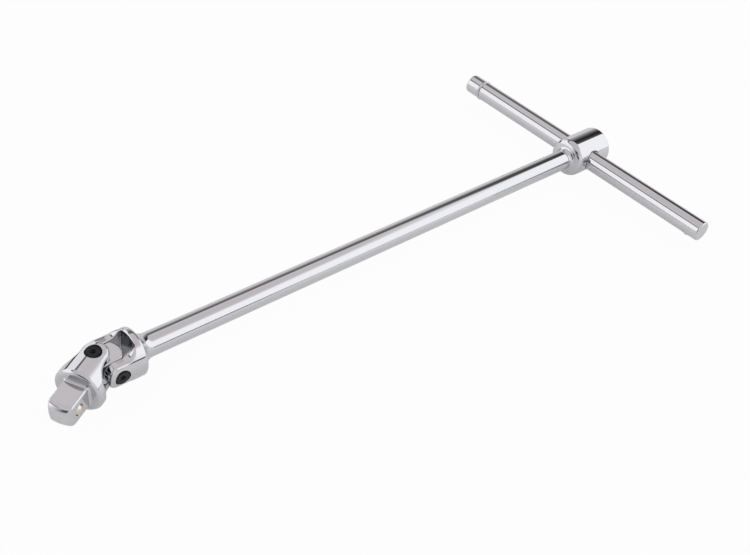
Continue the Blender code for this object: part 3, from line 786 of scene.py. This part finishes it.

# %% [markdown]
# Black oxide is a thin conversion coat: nearly black, satin, with lathe rings showing through. The
# flat of each head is painted lighter as painted sheen, and the dimple and the rim stay darkest as
# painted shade. The rings need the distance from the pin's own axis, so a Mapping node brings each
# pin's axis to the middle of the pattern.

# %% Black oxide
def black_oxide(name, spot):
    """Dark satin coat with rings about the pin's axis, fine mottling, painted sheen and painted shade."""
    origin, axes = spot
    material = bpy.data.materials.new(name)
    material.use_nodes = True
    tree = material.node_tree
    shader = tree.nodes["Principled BSDF"]
    shader.inputs["Metallic"].default_value = 0.75
    turn = Matrix([list(row) for row in axes]).to_euler()
    shift = -(Matrix([list(row) for row in axes]) @ Vector(origin))
    local = node(tree, "Mapping", Vector=node(tree, "TexCoord").outputs["Object"],
                 Location=shift, Rotation=turn).outputs[0]
    split = node(tree, "SeparateXYZ", Vector=local)
    radius = math_node(tree, "SQRT", math_node(tree, "MULTIPLY_ADD", split.outputs[0], split.outputs[0],
                       math_node(tree, "MULTIPLY", split.outputs[1], split.outputs[1])))
    rings = math_node(tree, "SINE", math_node(tree, "MULTIPLY", radius, 2 * math.pi / 0.00028))
    mottle = node(tree, "TexNoise", Vector=local, Scale=900.0, Detail=4.0)
    # Painted sheen across the flat of the head, painted shade in the dimple and at the rim.
    sheen_and_shade_ramp = node(tree, "ValToRGB")
    sheen_and_shade_ramp.color_ramp.elements[1].color = (0.1, 0.1, 0.1, 1.0)
    for reach, sheen_level in ((0.30, 0.0), (0.42, 0.8), (0.80, 1.0), (0.92, 0.1)):
        stop = sheen_and_shade_ramp.color_ramp.elements.new(reach)
        stop.color = (sheen_level, sheen_level, sheen_level, 1.0)
    tree.links.new(math_node(tree, "DIVIDE", radius, PIN_HEAD * MM), sheen_and_shade_ramp.inputs[0])
    share = math_node(tree, "MULTIPLY", sheen_and_shade_ramp.outputs[0],
                      math_node(tree, "MULTIPLY_ADD", mottle.outputs[0], 0.8, 0.2))
    tone = node(tree, "Mix", {"data_type": "RGBA"}, Factor=share)
    tone.inputs[6].default_value = (0.004, 0.004, 0.005, 1.0)
    tone.inputs[7].default_value = (0.05, 0.05, 0.053, 1.0)
    tree.links.new(tone.outputs[2], shader.inputs["Base Color"])
    satin = node(tree, "MapRange", Value=mottle.outputs[0])
    satin.inputs["To Min"].default_value = 0.30
    satin.inputs["To Max"].default_value = 0.48
    tree.links.new(satin.outputs[0], shader.inputs["Roughness"])
    bump = node(tree, "Bump", Strength=0.35, Distance=0.00002, Height=rings)
    tree.links.new(bump.outputs[0], shader.inputs["Normal"])
    return material


for name, spot in (("rear_pin", place(fork_place[0], rear_pin_axes)), ("front_pin", drive_place)):
    bpy.data.objects[name].data.materials.append(black_oxide(name + "_black_oxide", spot))

# %% [markdown]
# ## Floor
#
# A plain white sweep lies under the tool. It takes the tool's own soft shade. To the camera and in
# reflections it also glows a little, so that it reads as white at a plain light level.

# %% Floor
FLOOR_REACH = 4.0
MIRRORED_GLOW, CAMERA_GLOW = 0.25, 0.955
floor_mesh = bpy.data.meshes.new("floor")
floor_mesh.from_pydata([(-FLOOR_REACH, -FLOOR_REACH, 0), (FLOOR_REACH, -FLOOR_REACH, 0),
                        (FLOOR_REACH, FLOOR_REACH, 0), (-FLOOR_REACH, FLOOR_REACH, 0)], [], [(0, 1, 2, 3)])
floor = bpy.data.objects.new("floor", floor_mesh)
bpy.context.scene.collection.objects.link(floor)
sweep = bpy.data.materials.new("white_sweep")
sweep.use_nodes = True
tree = sweep.node_tree
paper = tree.nodes["Principled BSDF"]
paper.inputs["Base Color"].default_value = (0.86, 0.86, 0.86, 1.0)
paper.inputs["Roughness"].default_value = 0.32
paper.inputs["Specular IOR Level"].default_value = 0.5
path = node(tree, "LightPath")
seen = math_node(tree, "MAXIMUM", path.outputs["Is Glossy Ray"], path.outputs["Is Transmission Ray"])
seen = math_node(tree, "MULTIPLY", seen, MIRRORED_GLOW)
seen = math_node(tree, "MAXIMUM", seen,
                 math_node(tree, "MULTIPLY", path.outputs["Is Camera Ray"], CAMERA_GLOW))
glow = node(tree, "Emission")
glow.inputs["Strength"].default_value = 1.0
white = node(tree, "MixShader", i0=seen, i1=paper.outputs[0], i2=glow.outputs[0])
tree.links.new(white.outputs[0], tree.nodes["Material Output"].inputs["Surface"])
floor_mesh.materials.append(sweep)
print("floor", 2 * FLOOR_REACH, "m wide")

# %% [markdown]
# ## Studio light
#
# Chrome shows what stands round it, so the studio is the picture: a soft pale ceiling, large white
# cards on both sides and a dark card behind the tool. Real cards would stand in the way of other
# views. They are painted on the sky instead, each with its own heading, height and soft edges. The
# camera itself sees a plain white there.

# %% Cards in the sky
world = bpy.data.worlds.new("studio")
bpy.context.scene.world = world
world.use_nodes = True
sky = world.node_tree
heading_of = node(sky, "SeparateXYZ", Vector=node(sky, "TexCoord").outputs["Generated"])
up = math_node(sky, "MULTIPLY", math_node(sky, "ARCSINE", heading_of.outputs[2]), 180 / math.pi)
heading = math_node(sky, "MULTIPLY",
                    math_node(sky, "ARCTAN2", heading_of.outputs[1], heading_of.outputs[0]), 180 / math.pi)


def fade(value, start, end):
    """Even rise from nought at start to one at end."""
    made = node(sky, "MapRange", Value=value)
    made.inputs["From Min"].default_value = start
    made.inputs["From Max"].default_value = end
    return made.outputs[0]


def card(colour, first, first_edge, last, last_edge, low, low_edge, high, high_edge, tone):
    """Mix a tone over the sky between two headings and two heights, each with a fading edge."""
    half = (last - first) / 2
    turn = math_node(sky, "WRAP", math_node(sky, "ADD", heading, -(first + last) / 2), 180.0, -180.0)
    wide = math_node(sky, "MULTIPLY",
                     fade(turn, -half - first_edge, -half), fade(turn, half + last_edge, half))
    tall = math_node(sky, "MULTIPLY", fade(up, low, low + low_edge), fade(up, high + high_edge, high))
    mixed = node(sky, "Mix", {"data_type": "RGBA"}, Factor=math_node(sky, "MULTIPLY", wide, tall))
    sky.links.new(colour, mixed.inputs[6])
    mixed.inputs[7].default_value = (*tone, 1.0)
    return mixed.outputs[2]


ceiling = node(sky, "ValToRGB")
ceiling.color_ramp.elements[0].position = 0.0
ceiling.color_ramp.elements[0].color = (1.0, 1.0, 1.0, 1.0)
ceiling.color_ramp.elements[1].position = 0.75
ceiling.color_ramp.elements[1].color = (0.75, 0.70, 0.715, 1.0)
sky.links.new(fade(up, 0, 90), ceiling.inputs[0])
colour = ceiling.outputs[0]
CARDS = {
    "left white": (114, 6, 186, 4, 3, 5, 44, 11, (1.33, 1.33, 1.35)),
    "right white": (-104, 3, -16, 8, -3, 9, 39.5, 3, (1.30, 1.30, 1.32)),
    "right pale": (-106, 2, -90, 10, 3, 6, 39.5, 3, (1.12, 1.12, 1.14)),
    "right gap": (-106, 4, -8, 6, 42, 1, 47, 4, (0.13, 0.12, 0.13)),
    "front grey": (14, 24, 44, 16, -6, 4, 38, 10, (0.33, 0.33, 0.35)),
    "front dark": (14, 4, 30, 4, 16, 4, 30, 4, (0.02, 0.02, 0.02)),
    "front low": (26, 6, 48, 6, -6, 3, 8, 5, (0.01, 0.01, 0.01)),
    "rear grey": (-174, 2.5, -109, 3, 4, 33, 46, 4, (0.17, 0.16, 0.16)),
    "rear dark": (-174, 2.5, -157, 23, 2, 25, 38, 7, (0.020, 0.017, 0.016)),
    "table edge": (-180, 1, 180, 1, -2, 1, 0.5, 1.5, (0.50, 0.49, 0.50)),
    "left low": (106, 4, 118, 4, -3, 2, 4, 2, (0.08, 0.08, 0.08)),
    "rear low": (-108, 3, -82, 6, -4, 2, 7.5, 2.5, (0.01, 0.01, 0.01)),
}
for settings in CARDS.values():
    colour = card(colour, *settings)
plain = node(sky, "Mix", {"data_type": "RGBA"}, Factor=node(sky, "LightPath").outputs["Is Camera Ray"])
sky.links.new(colour, plain.inputs[6])
plain.inputs[7].default_value = (0.98, 0.98, 0.98, 1.0)
sky.links.new(plain.outputs[2], sky.nodes["Background"].inputs["Color"])
print(len(CARDS), "cards in the sky")

# %% [markdown]
# ## Camera
#
# The camera looks down past the square, from in front of the tool and to its left, with a slightly
# long lens.

# %% Camera
right, down = Vector((-0.74577, 0.65411, 0.12634)), Vector((0.35111, 0.54709, -0.75988))
forward = Vector((-0.56617, -0.52234, -0.63767))
eye = Vector(bar_place[0]) + Vector((0.53413, 0.33183, 0.37674))
lens = bpy.data.cameras.new("camera")
lens.lens, lens.sensor_width, lens.sensor_fit, lens.clip_start = 52.26, 36.0, "HORIZONTAL", 0.01
lens.shift_x, lens.shift_y = -0.55 / 750, 0.6 / 750
camera = bpy.data.objects.new("camera", lens)
bpy.context.scene.collection.objects.link(camera)
turn = Matrix((right, -down, -forward)).transposed().to_4x4()
camera.matrix_world = Matrix.Translation(eye) @ turn
bpy.context.scene.camera = camera
bpy.context.scene.view_settings.view_transform = "Standard"
print("camera", [round(v, 3) for v in eye])
